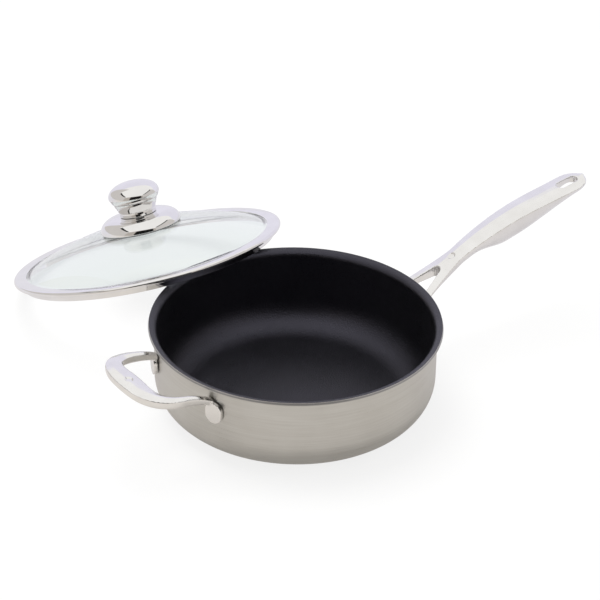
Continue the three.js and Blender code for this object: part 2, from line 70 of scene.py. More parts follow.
# Long handle
HANDLE_BELOW_RIM = 16.3
HANDLE_HEIGHT = PAN_HEIGHT - HANDLE_BELOW_RIM
HANDLE_ROOT = 54.6
HANDLE_RISE = math.radians(27)
HANDLE_BEND = 290
HANDLE_GRIP = 58.5
GRIP_RISE = math.radians(8)
ROOT_HALF_WIDTH = 21
NECK_HALF_WIDTH = 8.8
NECK_PLACE = 59
GRIP_HALF_WIDTH = 13.8
PRONG_CURVE = 1.25
PRONG_DEPTH = 4.6
NECK_DEPTH = 10
BELLY_DEPTH = 21.5
BELLY_START = 70
BELLY_PLACE = 110
BELLY_END = 122
TIP_DEPTH = 5
TIP_RADIUS = 17
TIP_BLUNT = 0.02
HANDLE_CROWN = 2
FORK_HALF_WIDTH = 16.5
FORK_LENGTH = 38
FORK_ROUND = 4.6
SLOT_LENGTH = 22.5
SLOT_WIDTH = 9.5
SLOT_MARGIN = 8.5
SLOT_POCKET = 2
SLOT_WEB = 3.5
HANDLE_RECESS_PLACE = 54
HANDLE_FOOT_DROP = 26
BEND_ANGLE = HANDLE_RISE - GRIP_RISE
HANDLE_LENGTH = HANDLE_ROOT + HANDLE_BEND * BEND_ANGLE + HANDLE_GRIP

# Helper handle
HELPER_BELOW_RIM = 10
HELPER_HEIGHT = PAN_HEIGHT - HELPER_BELOW_RIM
HELPER_DIP = 4.5
HELPER_DIP_SHARE = 0.4
HELPER_RISE = math.radians(12)
HELPER_ROLL = math.radians(8)
HELPER_REACH = 179.5
HELPER_FOOT_SPREAD = 90
HELPER_ARM_SPREAD = 83
HELPER_BAR_LENGTH = 80
HELPER_CORNER = 28
HELPER_BAR_WIDTH = 20
HELPER_ARM_WIDTH = 7.5
HELPER_ROOT_DEPTH = 5
HELPER_DEPTH = 9.5
HELPER_BAR_POWER = 4
HELPER_CROWN = 1.6
HELPER_FOOT_DROP = 19.5

# Lid: band and glass. The skirt tapers here, which it doesn't in the solids.
SKIRT_CLEARANCE = 1.1
SKIRT_DEPTH = 5.5
SKIRT_TAPER = 0.9
SKIRT_THICKNESS = 1.2
BEAD_INSET = 2
BEAD_METAL = 2.1
BAND_WIDTH = 12
BAND_SHEET = 0.5
GLASS_THICKNESS = 2.8
DOME_RISE = 24.5
DOME_INSET = 1
GLASS_HOLE_RADIUS = 6
SEAT_GAP = 0.3

# Knob and its screw. The base's shoulder is rounder than in the solids, which only shapes its highlights.
SCREW_RADIUS = 2.5
SCREW_CLEARANCE = 0.5
SCREW_HOLE = SCREW_RADIUS + SCREW_CLEARANCE
SCREW_HEAD_RADIUS = 5
SCREW_HEAD_FLAT = 3.5
SCREW_HEAD_HEIGHT = 3
SCREW_REACH = 9
WASHER_RADIUS = 9.5
WASHER_THICKNESS = 1.2
GROMMET_RADIUS = 11
GROMMET_THICKNESS = 1.6
GASKET_RADIUS = 36.3
GASKET_THICKNESS = 0.8
BASE_RADIUS = 37.2
BASE_WALL = 0.8
BASE_CROWN = 10.6
BASE_FLAT = 24
BASE_POWER = 2
BASE_BOSS_RADIUS = 8
NECK_FOOT_RADIUS = 16.8
NECK_FOOT_HEIGHT = 4.2
NECK_STEP = 0.5
NECK_TOP_RADIUS = 21
NECK_HEIGHT = 13.3
KNOB_WALL = 1.2
INSERT_RADIUS = 8
INSERT_HEIGHT = 11
CAP_FLARE = 0.6
CAP_RADIUS = 23.7
CAP_WAIST = 4.4
CAP_DOME = 12.8
CAP_POWER = 2.2

# Where the lid leans
LEAN_SIDE = math.radians(93.8)
LEAN_SHARE = 0.828
LEAN_STEPS = 60

# Radii of the lid's and the knob's edges
GLASS_EDGE = 1
SKIRT_EDGE = 0.5
SKIRT_BEND = 0.8
BAND_EDGE = 0.5
BAND_UNDER_EDGE = 0.1
BASE_EDGE = 0.5
BASE_INNER_EDGE = 0.3
NECK_FOOT_EDGE = 0.4
NECK_EDGE = 0.3
NECK_INNER_EDGE = 0.2
CAP_EDGE = 0.4
CAP_INNER_EDGE = 0.2
CAP_WAIST_BEND = 2.5
GROMMET_EDGE = 0.5
SCREW_HEAD_ROUND = 0.8
SCREW_HEAD_EDGE = 0.6
SCREW_UNDER_EDGE = 0.2
SCREW_TIP_EDGE = 0.3
SLEEVE_EDGE = 0.4
WASHER_EDGE = 0.2

# Camera, fitted to the photograph, with lengths in rim radii
RIM_UNIT = 127
VIEW_DISTANCE = 18.59961
VIEW_ELEVATION = math.radians(31.47671)
VIEW_ROLL = math.radians(1.01715)
VIEW_ACROSS = 0.03745
VIEW_UP = 0.67669
VIEW_TURN = math.radians(36)
LENS = 162
SENSOR = 36
VIEW_CLIP = 50

# Studio: colours of the light tent's cards, of the world and of the floor by the ray that meets it
LAVENDER = (0.86, 0.845, 0.95)
WARM_GREY = (0.66, 0.632, 0.608)
BEIGE = (0.5, 0.46, 0.42)
TENT_BLACK = (0.012, 0.012, 0.012)
PANEL_WHITE = (0.98, 0.97, 0.95)
PLAIN_WHITE = (1, 1, 1)
SKY_LIGHT = 0.55
PAPER_DARK = (0.78, 0.78, 0.78)
PAPER_LIGHT = (0.8, 0.8, 0.8)
FLOOR_SHADE = (0.22, 0.22, 0.22)
FLOOR_GLOW = (0.8, 0.8, 0.8)
# Floor as seen through the glass, with a painted pale green-grey tint of the light through it
GLASS_SHADE = (0.24, 0.25, 0.25)
GLASS_GLOW = (0.585, 0.605, 0.605)
REFLECTED_SHADE = (0.515, 0.486, 0.456)
REFLECTED_GLOW = (0.282, 0.272, 0.257)
# Painted lavender cast on the floor behind the object, seen only in reflections
BEHIND_SHADE = (0.48, 0.475, 0.51)
BEHIND_GLOW = (0.3, 0.297, 0.325)
BEHIND_START = -0.1
BEHIND_FULL = 0.35
FLOOR_HALF = 4
FLOOR_DROP = 0.0002

# Key light and the tent's places in metres, in the photograph's frame: +X right and +Y away from the camera
KEY_PLACE = (-0.5, 0.5, 2.2)
KEY_SIZE = (1.6, 1.6)
KEY_POWER = 34
KEY_COLOUR = (1, 0.99, 0.97)
TENT_LEFT = -1.5
TENT_RIGHT = 1.3
TENT_NEAR = -1.2
TENT_FAR = 0.9
TENT_TOP = 1.2
BACK_LEFT = -0.65
BACK_RIGHT = 1.2
BACK_TOP = 0.7
SLIT_WIDTH = 0.25
SLIT_NEAR = -0.9
SLIT_FAR = 0.75
OPENING_LEFT = -0.57
OPENING_RIGHT = 0.95
OPENING_NEAR = -1.19
OPENING_BOTTOM = 0.1
OPENING_TOP = 1.1

# Fineness of the round shapes and of the cast handles
SHARP_DEGREES = 40
PAN_SEGMENTS = 256
LID_SEGMENTS = 256
KNOB_SEGMENTS = 128
CUTTER_SEGMENTS = 360
RECESS_SEGMENTS = 64
BASE_STEPS = 10
CORNER_STEPS = 24
WALL_STEPS = 6
LIP_STEPS = 12
OUTLINE_STEPS = 24
HANDLE_STEPS = 120
TIP_STEPS = 16
HELPER_BEND_STEPS = 60
HELPER_RINGS = 181
BEAD_STEPS = 20
GASKET_STEPS = 16
CAST_VOXEL = 0.55 * MM
CAST_SMOOTHING = 6
CAST_SMOOTH_FACTOR = 0.5


def lip_tip(depth):
    end = math.pi - LIP_SWEEP
    bend = LIP_BEND + depth
    lip_rise = (LIP_BEND + WALL_THICKNESS) * math.sin(end) - LIP_LAND * math.cos(end)
    radius = WALL_RADIUS + LIP_BEND + bend * math.cos(end) + LIP_LAND * math.sin(end)
    height = PAN_HEIGHT - lip_rise + bend * math.sin(end) - LIP_LAND * math.cos(end)
    return radius, height


RIM_RADIUS = lip_tip(0)[0]
RIM_TOP_RADIUS = lip_tip(WALL_THICKNESS)[0]
SKIRT_RADIUS = WALL_RADIUS - WALL_THICKNESS - SKIRT_CLEARANCE
BEAD_RADIUS = RIM_RADIUS - BEAD_INSET
GLASS_BOTTOM = BAND_SHEET + SEAT_GAP
GLASS_TOP = GLASS_BOTTOM + GLASS_THICKNESS
BEAD_HEIGHT = GLASS_TOP + SEAT_GAP + BAND_SHEET
BAND_INNER_RADIUS = BEAD_RADIUS - BAND_WIDTH
GROOVE_RADIUS = BEAD_RADIUS - BEAD_METAL
DOME_RADIUS = BAND_INNER_RADIUS - DOME_INSET
DOME_SPHERE = (DOME_RADIUS ** 2 + DOME_RISE ** 2) / (2 * DOME_RISE)
DOME_APEX = GLASS_TOP + DOME_RISE


def dome_top(radius):
    return GLASS_TOP + DOME_RISE - DOME_SPHERE + math.sqrt(DOME_SPHERE ** 2 - radius ** 2)


GASKET_RISE = SEAT_GAP + GASKET_THICKNESS
BASE_BOTTOM = dome_top(GASKET_RADIUS) + GASKET_RISE + SEAT_GAP
BOSS_BOTTOM = DOME_APEX + GASKET_RISE + SEAT_GAP
BASE_TOP = BASE_BOTTOM + BASE_WALL + BASE_CROWN
NECK_BOTTOM = BASE_TOP + SEAT_GAP
NECK_TOP = NECK_BOTTOM + NECK_HEIGHT
INSERT_BOTTOM = NECK_BOTTOM + KNOB_WALL + SEAT_GAP
CAP_BOTTOM = NECK_TOP + SEAT_GAP
GROMMET_TOP = dome_top(GROMMET_RADIUS) - GLASS_THICKNESS - SEAT_GAP
WASHER_TOP = GROMMET_TOP - GROMMET_THICKNESS - SEAT_GAP
SCREW_HEAD_TOP = WASHER_TOP - WASHER_THICKNESS - SEAT_GAP
LEAN_REACH = RIM_RADIUS + 2 * SKIRT_RADIUS * LEAN_SHARE


# Meshes

def add_object(name, vertices, faces):
    mesh = bpy.data.meshes.new(name)
    mesh.from_pydata([tuple(v) for v in vertices], [], faces)
    mesh.validate()
    obj = bpy.data.objects.new(name, mesh)
    bpy.context.scene.collection.objects.link(obj)
    return obj


def shade(obj, sharp_degrees=SHARP_DEGREES):
    obj.data.shade_smooth()
    obj.data.set_sharp_from_angle(angle=math.radians(sharp_degrees))


def arc(centre, radius, start, end, steps):
    angles = [start + (end - start) * i / steps for i in range(steps + 1)]
    return [(centre[0] + radius * math.cos(a), centre[1] + radius * math.sin(a)) for a in angles]


# Profile with the corners that give a third number rounded to about that radius
def rounded(points, steps=5):
    result = []
    count = len(points)
    for i, point in enumerate(points):
        if len(point) == 2:
            result.append(point)
            continue
        corner = Vector(point[:2])
        before = Vector(points[i - 1][:2]) - corner
        after = Vector(points[(i + 1) % count][:2]) - corner
        reach = min(point[2], before.length * 0.48, after.length * 0.48)
        start = corner + before.normalized() * reach
        end = corner + after.normalized() * reach
        for k in range(steps + 1):
            t = k / steps
            place = start * (1 - t) ** 2 + corner * 2 * t * (1 - t) + end * t ** 2
            result.append((place.x, place.y))
    return result


# Closed body turned about Z. Its UV map holds turns round the axis and metres along the profile.
def turned(name, profile, segments):
    along = [0.0]
    for (r0, z0), (r1, z1) in zip(profile, profile[1:] + profile[:1]):
        along.append(along[-1] + math.hypot(r1 - r0, z1 - z0) * MM)
    vertices = []
    rings = []
    for radius, height in profile:
        if radius < 1e-6:
            rings.append([len(vertices)] * segments)
            vertices.append((0, 0, height * MM))
            continue
        ring = []
        for k in range(segments):
            angle = 2 * math.pi * k / segments
            ring.append(len(vertices))
            vertices.append((radius * MM * math.cos(angle), radius * MM * math.sin(angle), height * MM))
        rings.append(ring)
    faces = []
    uvs = []
    count = len(profile)
    for i in range(count):
        low, high = rings[i], rings[(i + 1) % count]
        if low[0] == low[1] and high[0] == high[1]:
            continue
        v0, v1 = along[i], along[i + 1]
        for k in range(segments):
            n = (k + 1) % segments
            u0, u1 = k / segments, (k + 1) / segments
            corners = [(low[k], u0, v0), (low[n], u1, v0), (high[n], u1, v1), (high[k], u0, v1)]
            seen = []
            for corner in corners:
                if corner[0] not in [s[0] for s in seen]:
                    seen.append(corner)
            faces.append([s[0] for s in seen])
            uvs.extend((s[1], s[2]) for s in seen)
    obj = add_object(name, vertices, faces)
    layer = obj.data.uv_layers.new(name="turned")
    layer.data.foreach_set("uv", np.array(uvs, np.float32).ravel())
    shade(obj)
    return obj


def loft(name, rings):
    size = len(rings[0])
    vertices = [point for ring in rings for point in ring]
    faces = []
    for r in range(len(rings) - 1):
        for i in range(size):
            n = (i + 1) % size
            faces.append([r * size + i, r * size + n, (r + 1) * size + n, (r + 1) * size + i])
    last = (len(rings) - 1) * size
    faces.append(list(range(size))[::-1])
    faces.append([last + i for i in range(size)])
    return add_object(name, [Vector(v) * MM for v in vertices], faces)


# Closed prism over a flat outline, carried into place by a matrix in millimetres
def prism(name, outline, low, high, place=Matrix.Identity(4)):
    count = len(outline)
    points = [place @ Vector((x, y, z)) for z in (low, high) for x, y in outline]
    faces = [[i, (i + 1) % count, count + (i + 1) % count, count + i] for i in range(count)]
    faces.append(list(range(count))[::-1])
    faces.append([count + i for i in range(count)])
    return add_object(name, [p * MM for p in points], faces)


def bake_modifiers(obj):
    evaluated = obj.evaluated_get(bpy.context.evaluated_depsgraph_get())
    mesh = bpy.data.meshes.new_from_object(evaluated)
    obj.modifiers.clear()
    old = obj.data
    obj.data = mesh
    bpy.data.meshes.remove(old)


def combine(obj, other, operation):
    modifier = obj.modifiers.new("combine", "BOOLEAN")
    modifier.operation = operation
    modifier.solver = "EXACT"
    modifier.object = other
    bake_modifiers(obj)
    mesh = other.data
    bpy.data.objects.remove(other)
    bpy.data.meshes.remove(mesh)


# Casting: remeshed finely and smoothed, so every edge and joint gets a small even radius
def cast(obj):
    remesh = obj.modifiers.new("remesh", "REMESH")
    remesh.mode = "VOXEL"
    remesh.voxel_size = CAST_VOXEL
    bake_modifiers(obj)
    smooth = obj.modifiers.new("smooth", "SMOOTH")
    smooth.factor = CAST_SMOOTH_FACTOR
    smooth.iterations = CAST_SMOOTHING
    bake_modifiers(obj)
    obj.data.shade_smooth()


# Clad pan

def sheet_face(depth):
    end = math.pi - LIP_SWEEP
    lip_rise = (LIP_BEND + WALL_THICKNESS) * math.sin(end) - LIP_LAND * math.cos(end)
    corner = (WALL_RADIUS - CORNER_RADIUS, CORNER_RADIUS)
    lip = (WALL_RADIUS + LIP_BEND, PAN_HEIGHT - lip_rise)
    base = [(r, depth) for r in np.linspace(0, corner[0], BASE_STEPS)[:-1]]
    bend = arc(corner, CORNER_RADIUS - depth, -math.pi / 2, 0, CORNER_STEPS)
    flare = arc(lip, LIP_BEND + depth, math.pi, end, LIP_STEPS)
    wall = [(bend[-1][0], z) for z in np.linspace(bend[-1][1], flare[0][1], WALL_STEPS)[1:-1]]
    return base + bend + wall + flare + [lip_tip(depth)]


def sheet_layer(name, depth, thickness):
    return turned(name, sheet_face(depth) + sheet_face(depth + thickness)[::-1], PAN_SEGMENTS)


# Handles

def handle_line(along):
    bend_length = HANDLE_BEND * BEND_ANGLE
    on_root = min(along, HANDLE_ROOT)
    on_bend = min(max(along - HANDLE_ROOT, 0), bend_length)
    on_grip = max(along - HANDLE_ROOT - bend_length, 0)
    slope = HANDLE_RISE - on_bend / HANDLE_BEND
    x = WALL_RADIUS + on_root * math.cos(HANDLE_RISE) + on_grip * math.cos(slope)
    x += HANDLE_BEND * (math.sin(HANDLE_RISE) - math.sin(slope))
    z = HANDLE_HEIGHT + on_root * math.sin(HANDLE_RISE) + on_grip * math.sin(slope)
    z += HANDLE_BEND * (math.cos(slope) - math.cos(HANDLE_RISE))
    return Vector((x, 0, z)), Vector((-math.sin(slope), 0, math.cos(slope)))


def lerp(a, b, t):
    return a + (b - a) * t


def ease(x, low, high):
    t = min(max((x - low) / (high - low), 0), 1)
    return t * t * (3 - 2 * t)


def handle_half_width(along):
    if along < NECK_PLACE:
        return lerp(NECK_HALF_WIDTH, ROOT_HALF_WIDTH, (1 - along / NECK_PLACE) ** PRONG_CURVE)
    tip_centre = HANDLE_LENGTH - TIP_RADIUS
    share = min((along - NECK_PLACE) / (tip_centre - NECK_PLACE), 1)
    width = lerp(NECK_HALF_WIDTH, GRIP_HALF_WIDTH, 1 - (1 - share) ** 2)
    into_tip = max(along - tip_centre, 0) / TIP_RADIUS
    return width * math.sqrt(max(1 - into_tip ** 2, 0))


def handle_depth(along):
    root_to_neck = lerp(PRONG_DEPTH, NECK_DEPTH, ease(along, 0, NECK_PLACE))
    neck_to_belly = lerp(root_to_neck, BELLY_DEPTH, ease(along, BELLY_START, BELLY_PLACE))
    return lerp(neck_to_belly, TIP_DEPTH, ease(along, BELLY_END, HANDLE_LENGTH))


# Section of the cast bar: narrow flat ridge, a slope each side down to a crisp edge, and a full round belly
def bar_section(half_width, depth, crown, steps=20):
    section = []
    for i in range(steps):
        t = 1 - 2 * i / steps
        section.append((half_width * t, crown * min((1 - abs(t)) / (1 - FLAT_SHARE), 1)))
    for i in range(steps * 2):
        angle = math.pi * i / (steps * 2)
        cosine = math.cos(angle)
        across = math.copysign(abs(cosine) ** (2 / BELLY_POWER), cosine)
        section.append((-half_width * across, -depth * math.sin(angle) ** (2 / BELLY_POWER)))
    return section


def place_section(section, centre, side, up):
    return [centre + side * across + up * rise for across, rise in section]


def slot_outline(margin):
    radius = SLOT_WIDTH / 2
    outer = handle_line(HANDLE_LENGTH - SLOT_MARGIN - radius)[0].x
    inner = handle_line(HANDLE_LENGTH - SLOT_MARGIN - SLOT_LENGTH + radius)[0].x
    right = arc((outer, 0), radius + margin, -math.pi / 2, math.pi / 2, OUTLINE_STEPS)
    left = arc((inner, 0), radius + margin, math.pi / 2, 1.5 * math.pi, OUTLINE_STEPS)
    return right + left


def fork_outline():
    end = handle_line(FORK_LENGTH)[0].x
    start = WALL_RADIUS - WALL_OVERRUN
    nose = arc((end - FORK_ROUND, 0), FORK_ROUND, -math.pi / 2, math.pi / 2, OUTLINE_STEPS)
    return [(start, -FORK_HALF_WIDTH)] + nose + [(start, FORK_HALF_WIDTH)]


def foot_body(angle, top, drop):
    half = FOOT_WIDTH / 2
    outline = arc((0, top - half), half, 0, math.pi, OUTLINE_STEPS)
    outline += arc((0, top - drop + half), half, math.pi, 2 * math.pi, OUTLINE_STEPS)
    outward = Vector((math.cos(angle), math.sin(angle), 0))
    up = Vector((0, 0, 1))
    across = up.cross(outward)
    place = Matrix((across, up, outward)).transposed().to_4x4()
    face = WALL_RADIUS + FOOT_GAP + FOOT_THICKNESS
    return prism("foot", outline, WALL_RADIUS - WALL_OVERRUN, face, place)


def round_outline(radius, segments):
    return arc((0, 0), radius, 0, 2 * math.pi * (1 - 1 / segments), segments - 1)


# Adds the feet, fits them to the wall, rounds the casting and sinks its bare recess
def finish_handle(obj, feet, recess_point, recess_up, crown):
    turn = Vector((0, 0, 1)).rotation_difference(recess_up).to_matrix().to_4x4()
    place = Matrix.Translation(recess_point) @ turn
    flare = RECESS_RADIUS - RECESS_FLOOR
    ends = [(RECESS_FLOOR, crown - RECESS_DEPTH), (RECESS_RADIUS + flare, crown + RECESS_DEPTH)]
    recess = []
    for radius, height in ends:
        outline = round_outline(radius, RECESS_SEGMENTS)
        recess.append([place @ Vector((x, y, height)) for x, y in outline])
    plug = loft("recess", recess)
    for angle, top, drop in feet:
        combine(obj, foot_body(angle, top, drop), "UNION")
    cut = round_outline(WALL_RADIUS + FOOT_GAP, CUTTER_SEGMENTS)
    wall = prism("wall", cut, CUTTER_BOTTOM, CUTTER_TOP)
    combine(obj, wall, "DIFFERENCE")
    cast(obj)
    combine(obj, plug, "DIFFERENCE")
    shade(obj, RECESS_SHARP)


def long_handle():
    tip_centre = HANDLE_LENGTH - TIP_RADIUS
    places = [lerp(-WALL_OVERRUN, tip_centre, i / HANDLE_STEPS) for i in range(HANDLE_STEPS + 1)]
    for i in range(1, TIP_STEPS):
        places.append(tip_centre + TIP_RADIUS * math.sin(math.pi / 2 * i / TIP_STEPS))
    places.append(HANDLE_LENGTH - TIP_BLUNT)
    side = Vector((0, 1, 0))
    rings = []
    for along in places:
        point, up = handle_line(along)
        section = bar_section(handle_half_width(along), handle_depth(along), HANDLE_CROWN)
        rings.append(place_section(section, point, side, up))
    obj = loft("long_handle_cast", rings)
    combine(obj, prism("fork", fork_outline(), 0, CUTTER_TOP), "DIFFERENCE")
    combine(obj, prism("slot", slot_outline(0), 0, CUTTER_TOP), "DIFFERENCE")
    middle = handle_line(HANDLE_LENGTH - SLOT_MARGIN - SLOT_LENGTH / 2)[0]
    combine(obj, prism("pocket", slot_outline(SLOT_POCKET), 0, middle.z - SLOT_WEB), "DIFFERENCE")
    foot_angle = math.asin((ROOT_HALF_WIDTH + FORK_HALF_WIDTH) / 2 / WALL_RADIUS)
    top = HANDLE_HEIGHT - FOOT_TOP_DROP
    feet = [(turn * foot_angle, top, HANDLE_FOOT_DROP) for turn in (1, -1)]
    finish_handle(obj, feet, *handle_line(HANDLE_RECESS_PLACE), HANDLE_CROWN)
    return obj


# Even points along the helper handle's top line, from inside the wall round the loop and back
def helper_points(count):
    bar_out = HELPER_REACH - HELPER_BAR_WIDTH / 2
    half_spread = HELPER_ARM_SPREAD / 2
    wall_out = math.sqrt(WALL_RADIUS ** 2 - half_spread ** 2)

    def on_loop(out, across):
        return Vector((-out, across, HELPER_HEIGHT + (out - wall_out) * math.tan(HELPER_RISE)))

    def bezier(a, b, c):
        shares = np.linspace(0, 1, HELPER_BEND_STEPS)
        return [a * (1 - t) ** 2 + b * 2 * t * (1 - t) + c * t * t for t in shares]

    foot = on_loop(wall_out, half_spread)
    corner = on_loop(bar_out, HELPER_BAR_LENGTH / 2)
    corner_start = corner.lerp(foot, HELPER_CORNER / (corner - foot).length)
    corner_end = on_loop(bar_out, HELPER_BAR_LENGTH / 2 - HELPER_CORNER)
    arm_bend = foot.lerp(corner_start, HELPER_DIP_SHARE)
    root = foot - Vector((0, 0, HELPER_DIP))
    in_wall = root + Vector((WALL_OVERRUN, 0, 0))
    half = [in_wall] + bezier(root, arm_bend, corner_start) + bezier(corner_start, corner, corner_end)
    line = half + [Vector((p.x, -p.y, p.z)) for p in half[::-1]]
    points = np.array(line)
    steps = np.linalg.norm(np.diff(points, axis=0), axis=1)
    length = np.concatenate([[0], np.cumsum(steps)])
    even = np.linspace(0, length[-1], count)
    return [Vector([np.interp(s, length, points[:, k]) for k in range(3)]) for s in even]


def helper_handle():
    points = helper_points(HELPER_RINGS)
    last = HELPER_RINGS - 1
    lean = HELPER_RISE - HELPER_ROLL
    up = Vector((math.sin(lean), 0, math.cos(lean)))
    rings = []
    for i, point in enumerate(points):
        before = points[max(i - 2, 0)]
        after = points[min(i + 2, last)]
        side = up.cross(after - before).normalized()
        from_root = math.sin(math.pi * i / last)
        width = lerp(HELPER_ARM_WIDTH, HELPER_BAR_WIDTH, from_root ** HELPER_BAR_POWER)
        depth = lerp(HELPER_ROOT_DEPTH, HELPER_DEPTH, from_root)
        rings.append(place_section(bar_section(width / 2, depth, HELPER_CROWN), point, side, up))
    obj = loft("helper_handle_cast", rings)
    foot_angle = math.asin(HELPER_FOOT_SPREAD / 2 / WALL_RADIUS)
    top = HELPER_HEIGHT - HELPER_DIP - FOOT_TOP_DROP
    feet = [(math.pi + turn * foot_angle, top, HELPER_FOOT_DROP) for turn in (1, -1)]
    finish_handle(obj, feet, points[HELPER_RINGS // 2], up, HELPER_CROWN)
    return obj


# Lid, in its own frame: axis along Z, with the bead's underside at zero

def dome_face(lift, steps=40):
    radii = np.linspace(GLASS_HOLE_RADIUS, DOME_RADIUS, steps)
    return [(r, dome_top(r) + lift) for r in radii]


def lid_glass():
    edge = GROOVE_RADIUS - SEAT_GAP
    rim = [(edge, GLASS_BOTTOM, GLASS_EDGE), (edge, GLASS_TOP, GLASS_EDGE)]
    profile = dome_face(-GLASS_THICKNESS) + rim + dome_face(0)[::-1]
    return turned("lid_glass_dome", rounded(profile), LID_SEGMENTS)


def lid_band():
    skirt_inner = SKIRT_RADIUS - SKIRT_THICKNESS
    bead = []
    for out, rise in arc((0, 0), 1, -math.pi / 2, math.pi / 2, BEAD_STEPS):
        bead.append((GROOVE_RADIUS + BEAD_METAL * out, BEAD_HEIGHT / 2 * (1 + rise)))
    profile = [
        (skirt_inner - SKIRT_TAPER, -SKIRT_DEPTH, SKIRT_EDGE),
        (SKIRT_RADIUS - SKIRT_TAPER, -SKIRT_DEPTH, SKIRT_EDGE),
        (SKIRT_RADIUS, 0, SKIRT_BEND),
        *bead,
        (BAND_INNER_RADIUS, BEAD_HEIGHT, BAND_EDGE),
        (BAND_INNER_RADIUS, BEAD_HEIGHT - BAND_SHEET, BAND_UNDER_EDGE),
        (GROOVE_RADIUS, BEAD_HEIGHT - BAND_SHEET),
        (GROOVE_RADIUS, BAND_SHEET),
        (skirt_inner, BAND_SHEET),
    ]
    return turned("lid_band_crimp", rounded(profile), LID_SEGMENTS)


# Crown of the knob's base, from the top of its wall in to its flat middle
def base_face(inset, steps=24):
    points = []
    for i in range(steps + 1):
        angle = math.pi / 2 * i / steps
        across = 0 if i == steps else math.cos(angle) ** (2 / BASE_POWER)
        radius = BASE_FLAT + (BASE_RADIUS - inset - BASE_FLAT) * across
        rise = (BASE_CROWN - inset) * math.sin(angle) ** (2 / BASE_POWER)
        points.append((radius, BASE_BOTTOM + BASE_WALL + rise))
    return points


def knob_base():
    return turned("knob_base_pressing", rounded([
        (SCREW_HOLE, BOSS_BOTTOM),
        (BASE_BOSS_RADIUS, BOSS_BOTTOM),
        (BASE_BOSS_RADIUS, BASE_TOP - KNOB_WALL),
        *base_face(KNOB_WALL)[::-1],
        (BASE_RADIUS - KNOB_WALL, BASE_BOTTOM, BASE_INNER_EDGE),
        (BASE_RADIUS, BASE_BOTTOM, BASE_EDGE),
        *base_face(0),
        (SCREW_HOLE, BASE_TOP),
    ]), KNOB_SEGMENTS)


def knob_neck():
    inner = NECK_FOOT_RADIUS - KNOB_WALL
    foot_top = NECK_BOTTOM + NECK_FOOT_HEIGHT
    return turned("knob_neck_spun", rounded([
        (SCREW_HOLE, NECK_BOTTOM),
        (NECK_FOOT_RADIUS, NECK_BOTTOM, NECK_FOOT_EDGE),
        (NECK_FOOT_RADIUS, foot_top, NECK_EDGE),
        (NECK_FOOT_RADIUS + NECK_STEP, foot_top + NECK_STEP, NECK_EDGE),
        (NECK_TOP_RADIUS, NECK_TOP, NECK_EDGE),
        (NECK_TOP_RADIUS - KNOB_WALL, NECK_TOP, NECK_INNER_EDGE),
        (inner, foot_top),
        (inner, NECK_BOTTOM + KNOB_WALL),
        (SCREW_HOLE, NECK_BOTTOM + KNOB_WALL),
    ]), KNOB_SEGMENTS)


# Dome of the knob's cap, from its waist in to its middle
def cap_face(inset, steps=32):
    points = []
    for i in range(steps + 1):
        angle = math.pi / 2 * i / steps
        radius = 0 if i == steps else (CAP_RADIUS - inset) * math.cos(angle) ** (2 / CAP_POWER)
        rise = (CAP_DOME - inset) * math.sin(angle) ** (2 / CAP_POWER)
        points.append((radius, CAP_BOTTOM + CAP_WAIST + rise))
    return points


def knob_cap():
    lower = NECK_TOP_RADIUS + CAP_FLARE
    outer = cap_face(0)
    waist = (*outer[0], CAP_WAIST_BEND)
    skirt = [(lower - KNOB_WALL, CAP_BOTTOM, CAP_INNER_EDGE), (lower, CAP_BOTTOM, CAP_EDGE)]
    profile = cap_face(KNOB_WALL)[::-1] + skirt + [waist] + outer[1:]
    return turned("knob_cap_spun", rounded(profile), KNOB_SEGMENTS)


def ring_body(name, inner, outer, bottom, top, edge):
    corners = [(inner, bottom, edge), (outer, bottom, edge), (outer, top, edge), (inner, top, edge)]
    return turned(name, rounded(corners), KNOB_SEGMENTS)


def base_gasket():
    radii = np.linspace(SCREW_HOLE, GASKET_RADIUS, GASKET_STEPS)
    under = [(r, dome_top(r) + SEAT_GAP) for r in radii]
    over = [(r, dome_top(r) + GASKET_RISE) for r in radii]
    return turned("base_gasket_disc", under + over[::-1], KNOB_SEGMENTS)


def glass_grommet():
    collar = GLASS_HOLE_RADIUS - SEAT_GAP
    bottom = GROMMET_TOP - GROMMET_THICKNESS
    return turned("glass_grommet_bush", rounded([
        (SCREW_HOLE, bottom),
        (GROMMET_RADIUS, bottom, GROMMET_EDGE),
        (GROMMET_RADIUS, GROMMET_TOP, GROMMET_EDGE),
        (collar, GROMMET_TOP),
        (collar, dome_top(collar)),
        (SCREW_HOLE, dome_top(collar)),
    ]), KNOB_SEGMENTS)


def knob_screw():
    head_bottom = SCREW_HEAD_TOP - SCREW_HEAD_HEIGHT
    end = INSERT_BOTTOM + SCREW_REACH
    return turned("knob_screw_turned", rounded([
        (0, head_bottom),
        (SCREW_HEAD_FLAT, head_bottom, SCREW_HEAD_ROUND),
        (SCREW_HEAD_RADIUS, head_bottom + SCREW_HEAD_HEIGHT / 2, SCREW_HEAD_EDGE),
        (SCREW_HEAD_RADIUS, SCREW_HEAD_TOP, SCREW_UNDER_EDGE),
        (SCREW_RADIUS, SCREW_HEAD_TOP),
        (SCREW_RADIUS, end, SCREW_TIP_EDGE),
        (0, end),
    ]), KNOB_SEGMENTS)


